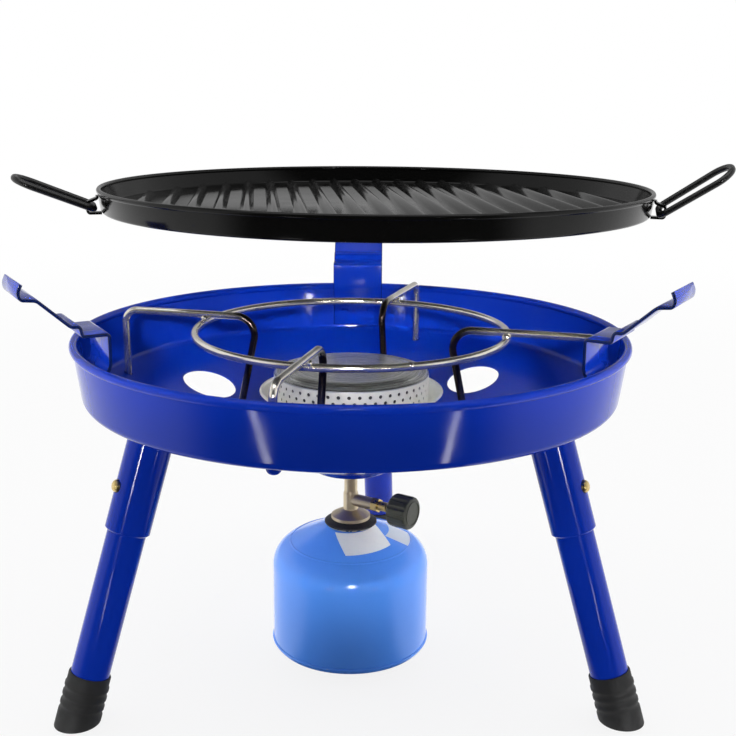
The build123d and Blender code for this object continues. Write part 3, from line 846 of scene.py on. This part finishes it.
def socketSeam(place, shape):
    frameOf, length = legFrame(shape, shape["turns"][place])
    curve = bpy.data.curves.new("seamPath", "CURVE")
    curve.dimensions = "3D"
    curve.bevel_depth = shape["seam"]
    curve.bevel_resolution = 3
    count = shape["seamPoints"]
    spline = curve.splines.new("POLY")
    spline.points.add(count - 1)
    spline.use_cyclic_u = True
    axis = frameOf.to_3x3() @ Vector((0, 0, 1))
    reach = shape["socket"] + shape["seamGap"]
    (ripple, beat), (lump, scale) = shape["seamRipple"], shape["seamLump"]
    for number, point in enumerate(spline.points):
        angle = 2 * pi * number / count
        spot = frameOf @ Vector((reach * cos(angle), reach * sin(angle), length))
        for _ in range(shape["seamSlides"]):  # slide along the leg up to the bowl's underside
            spot += axis * (floorUnder(shape, spot.xy.length) - spot.z) / axis.z
        point.co = (*spot, 1)
        point.radius = 1 + ripple * sin(number * 2 * pi / beat) + lump * noise.noise(spot * scale)
    path = bpy.data.objects.new("seamPath", curve)
    mesh = bpy.data.meshes.new_from_object(path)
    form = bmesh.new()
    form.from_mesh(mesh)
    bpy.data.objects.remove(path)
    bpy.data.meshes.remove(mesh)
    bmesh.ops.recalc_face_normals(form, faces=form.faces)
    keepPiece("socketSeam_" + place, form, "stove", finishes["blue_enamel"],
              bend=70.0)


def rubberFoot(place, shape):
    frameOf, _ = legFrame(shape, shape["turns"][place])
    wide, neck, half = shape["capRadius"], shape["capNeck"], shape["bandHalf"]
    below, top = shape["capBelow"], shape["capTop"]
    (sole, waist), (fall, inset) = shape["capFlare"], shape["capRound"]
    points = [(0, -below), (wide, -below), (wide, sole), (neck, waist)]
    for middle in shape["bands"]:
        points += [(neck, middle - half), (wide, middle - half / 2)]
        points += [(wide, middle + half / 2), (neck, middle + half)]
    points += [(neck, top - fall), (neck - inset, top), (shape["capBore"], top), (0, top)]
    form = bmesh.new()
    spun(form, points, shape["capSteps"])
    bmesh.ops.transform(form, matrix=frameOf, verts=form.verts)
    whole = form.verts[:] + form.edges[:] + form.faces[:]
    cut = bmesh.ops.bisect_plane(form, geom=whole, plane_co=(0, 0, 0), plane_no=(0, 0, 1),
                                 clear_inner=True)
    rim = [part for part in cut["geom_cut"] if isinstance(part, bmesh.types.BMEdge)]
    bmesh.ops.holes_fill(form, edges=rim)
    bmesh.ops.recalc_face_normals(form, faces=form.faces)
    keepPiece("rubberFoot_" + place, form, "stove", finishes["black_rubber"],
              ["foot_cap_" + place])


def bendSpring(place, shape):
    node = nodes["leg_spring_" + place]
    form = bmesh.new()
    form.from_mesh(node.data)
    bmesh.ops.transform(form, matrix=node.matrix_world, verts=form.verts)
    bmesh.ops.remove_doubles(form, verts=form.verts, dist=shape["springMerge"])
    mesh = bpy.data.meshes.new("bentSpring_" + place)
    form.to_mesh(mesh)
    form.free()
    mesh.materials.append(finishes[slotOf[node.name]])
    spring = bpy.data.objects.new("bentSpring_" + place, mesh)
    scene.collection.objects.link(spring)
    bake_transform(spring)
    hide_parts(node.name)


for place in legShape["turns"]:
    socketSeam(place, legShape)
    rubberFoot(place, legShape)
    bendSpring(place, legShape)
print("socket seams, feet and springs built")


# pan supports: bent strips, and the spot welds on their tails inside the bowl

supportShape = {
    "turns": {"rear": 90.0, "left": 210.0, "right": 330.0},
    "width": 0.040,
    "strip": 0.002,
    "bend": 0.0017,
    "bendSteps": 5,
    "sharp": 60.0,  # edges over this angle are rounded
    "edge": 0.00035,
    "gloss": {"rear": 0.22, "left": 0.85, "right": 0.85},  # the side strips mirror more of the room
    "paintedShadeEdgeFade": (0.0192, 0.0198),  # painted shade: the enamel is coloured dark along the cut edges
    "paintedShadeEdgeColour": (0.0016, 0.0060, 0.045),
    "path": (  # radius, and height over the rim, along the strip's middle
        (0.17541, -0.0340), (0.17790, -0.0150), (0.1710, -0.0014), (0.1710, 0.0175), (0.1865, 0.0175),
        (0.1877, 0.0237), (0.1927, 0.0237), (0.2112, 0.0407), (0.2201, 0.0417), (0.2211, 0.0461),
        (0.2191, 0.0505),
    ),
}


# painted shade: darkens the enamel's colour along the strip's two cut edges
def thinEdges(finish, turn, shape):
    tree = finish.node_tree
    shader = tree.nodes["Principled BSDF"]
    across = tree.nodes.new("ShaderNodeVectorMath")
    across.operation = "DOT_PRODUCT"
    across.inputs[1].default_value = (-sin(turn), cos(turn), 0)
    tree.links.new(tree.nodes.new("ShaderNodeTexCoord").outputs["Object"], across.inputs[0])
    aside = tree.nodes.new("ShaderNodeMath")
    aside.operation = "ABSOLUTE"
    tree.links.new(across.outputs["Value"], aside.inputs[0])
    edgeShadeMask = spread(tree, aside.outputs["Value"], 0.0, 1.0, *shape["paintedShadeEdgeFade"])
    edgeShadeMix = blendColours(tree, edgeShadeMask, enamelLook["deep"], shape["paintedShadeEdgeColour"])
    tree.links.new(shader.inputs["Base Color"].links[0].from_socket, edgeShadeMix.node.inputs[6])
    tree.links.new(edgeShadeMix, shader.inputs["Base Color"])


def buildSupport(place, shape):
    turn = radians(shape["turns"][place])
    half, thick = shape["width"] / 2, shape["strip"]
    form = bmesh.new()
    verts = [form.verts.new((radius, -half, rimTop + height)) for radius, height in shape["path"]]
    edges = [form.edges.new(pair) for pair in zip(verts, verts[1:])]
    drawn = bmesh.ops.extrude_edge_only(form, edges=edges)["geom"]
    across = [part for part in drawn if isinstance(part, bmesh.types.BMVert)]
    bmesh.ops.translate(form, vec=(0, shape["width"], 0), verts=across)
    bends = [edge for edge in form.edges if len(edge.link_faces) == 2]
    roundEdges(form, bends, shape["bend"], shape["bendSteps"])
    bmesh.ops.recalc_face_normals(form, faces=form.faces)
    form.normal_update()
    for vert in form.verts:
        vert.co += vert.normal * thick / 2
    bmesh.ops.solidify(form, geom=form.faces[:], thickness=thick)
    bmesh.ops.recalc_face_normals(form, faces=form.faces)
    limit = radians(shape["sharp"])
    sharp = [edge for edge in form.edges if edge.is_manifold and edge.calc_face_angle() > limit]
    roundEdges(form, sharp, shape["edge"], 2)
    bmesh.ops.rotate(form, cent=(0, 0, 0), matrix=Matrix.Rotation(turn, 3, "Z"), verts=form.verts)
    finish = blueEnamel("supportEnamel_" + place, dict(enamelLook, gloss=shape["gloss"][place]))
    thinEdges(finish, turn, shape)
    keepPiece("supportStrip_" + place, form, "stove", finish, ["pan_support_" + place])


for place in supportShape["turns"]:
    buildSupport(place, supportShape)
print("pan supports built")

spotShape = {
    "radius": 0.1759,
    "drop": 0.022,
    "apart": 0.011,
    "lean": 7.4,
    "steps": 32,
    "profile": (
        (0, 0.00008), (0.0019, 0.0001), (0.0025, 0.00035), (0.0030, 0.0003), (0.0036, -0.0002),
        (0, -0.0002),
    ),
}


def buildSpots(shape, turns):
    form = bmesh.new()
    face = Matrix.Rotation(radians(-90 - shape["lean"]), 4, "Y")
    for turn in turns:
        for side in (-1, 1):
            mark = bmesh.new()
            spun(mark, shape["profile"], shape["steps"])
            spot = Matrix.Translation((shape["radius"], side * shape["apart"], rimTop - shape["drop"]))
            place = Matrix.Rotation(radians(turn), 4, "Z") @ spot @ face
            bmesh.ops.transform(mark, matrix=place, verts=mark.verts)
            part = bpy.data.meshes.new("spotMark")
            mark.to_mesh(part)
            mark.free()
            form.from_mesh(part)
            bpy.data.meshes.remove(part)
    keepPiece("supportSpots", form, "stove", finishes["blue_enamel"], bend=50.0)


buildSpots(spotShape, supportShape["turns"].values())
print("spot welds built")


# cartridge: shoulder bead, base seam and two blank labels on the dome, the side one in painted shade

canShape = {
    "collarRadius": 0.01695,
    "collarHeight": 0.0936,
    "cornerRadius": 0.05455,
    "domeFall": 0.018,
    "halfSheet": 0.00045,
    "shoulderBead": (0.0425, 0.0010),
    "beadSunk": 0.0006,
    "seam": (0.0548, 0.0090, 0.0011),
    "labelGrid": (28, 18),
    "labelThick": 0.00012,
}
labels = {
    "labelFront": {
        "size": (0.0365, 0.0195), "turn": -66.0, "down": 0.0104, "skew": 4.0, "finish": "white",
    },
    # painted shade: the side label is the white label's paper coloured grey-blue for the side turned
    # from the light
    "labelSide": {
        "size": (0.024, 0.0170), "turn": 0.0, "down": 0.0195, "skew": 0.0, "finish": "paintedShadePaper",
    },
}
paperLook = {
    "sheen": 0.4,
    "cloud": (90.0, 4.0),
    "smear": (500.0, 2.0),
    "roughness": (0.32, 0.48),
    "fibre": (1500.0, 2.0),
    "fibreDepth": (0.05, 0.0001),
}


def domeSpot(shape, down, turn, proud):
    slope = atan2(shape["domeFall"], shape["cornerRadius"] - shape["collarRadius"])
    out = shape["halfSheet"] + proud
    radius = shape["collarRadius"] + down * cos(slope) + out * sin(slope)
    height = shape["collarHeight"] - down * sin(slope) + out * cos(slope)
    return Vector((radius * cos(turn), radius * sin(turn), height)), radius


def paperFinish(name, colour, shade, look=paperLook):
    finish, tree, shader, place = startFinish(name, look["sheen"])
    cloud = grain(tree, place, *look["cloud"])
    tree.links.new(blendColours(tree, cloud, colour, shade), shader.inputs["Base Color"])
    smear = spread(tree, grain(tree, place, *look["smear"]), *look["roughness"])
    tree.links.new(smear, shader.inputs["Roughness"])
    dent(tree, shader, grain(tree, place, *look["fibre"]), *look["fibreDepth"])
    return finish


papers = {
    "white": paperFinish("labelWhite", (0.93, 0.93, 0.92), (0.84, 0.84, 0.84)),
    # painted shade: white label paper coloured grey-blue, for the label's shaded side
    "paintedShadePaper": paperFinish("labelPale", (0.62, 0.68, 0.74), (0.54, 0.61, 0.68)),
}


def layLabel(name, look, shape):
    form = bmesh.new()
    columns, rows = shape["labelGrid"]
    bmesh.ops.create_grid(form, x_segments=columns, y_segments=rows, size=0.5)
    skew = radians(look["skew"])
    for vert in form.verts:
        across, up = vert.co.x * look["size"][0], vert.co.y * look["size"][1]
        across, up = across * cos(skew) - up * sin(skew), across * sin(skew) + up * cos(skew)
        down = look["down"] - up
        _, radius = domeSpot(shape, down, 0, 0)
        vert.co, _ = domeSpot(shape, down, radians(look["turn"]) + across / radius, 0.0)
    bmesh.ops.recalc_face_normals(form, faces=form.faces)
    if sum(face.normal.z for face in form.faces) < 0:
        bmesh.ops.reverse_faces(form, faces=form.faces)
    bmesh.ops.solidify(form, geom=form.faces[:], thickness=-shape["labelThick"])
    bmesh.ops.recalc_face_normals(form, faces=form.faces)
    keepPiece(name, form, "cartridge", papers[look["finish"]])


def buildCartridge(shape):
    form = bmesh.new()
    radius, bead = shape["shoulderBead"]
    slope = atan2(shape["domeFall"], shape["cornerRadius"] - shape["collarRadius"])
    down = (radius - shape["collarRadius"]) / cos(slope)
    spot, _ = domeSpot(shape, down, 0, -shape["beadSunk"])
    spunRing(form, spot.x, spot.z, bead)
    spunRing(form, *shape["seam"])
    keepPiece("canBeads", form, "cartridge", finishes["cartridge_paint"])
    for name, look in labels.items():
        layLabel(name, look, shape)


buildCartridge(canShape)
print("cartridge beads and labels built")


# regulating knob: raised ring round its face

knobShape = {
    "turn": -32.0,
    "height": 0.112,
    "face": 0.0505,
    "ring": 0.0082,
    "bead": 0.0006,
    "beadSides": 10,
    "steps": 96,
}


def buildKnobRing(shape):
    form = bmesh.new()
    spunRing(form, shape["ring"], 0, shape["bead"], shape["beadSides"], shape["steps"])
    aim = Matrix.Rotation(radians(shape["turn"]), 4, "Z")
    aim = aim @ Matrix.Translation((shape["face"], 0, shape["height"]))
    bmesh.ops.transform(form, matrix=aim @ Matrix.Rotation(pi / 2, 4, "Y"), verts=form.verts)
    keepPiece("knobRing", form, "knob", finishes["knob_plastic"])


buildKnobRing(knobShape)
print("knob ring built")
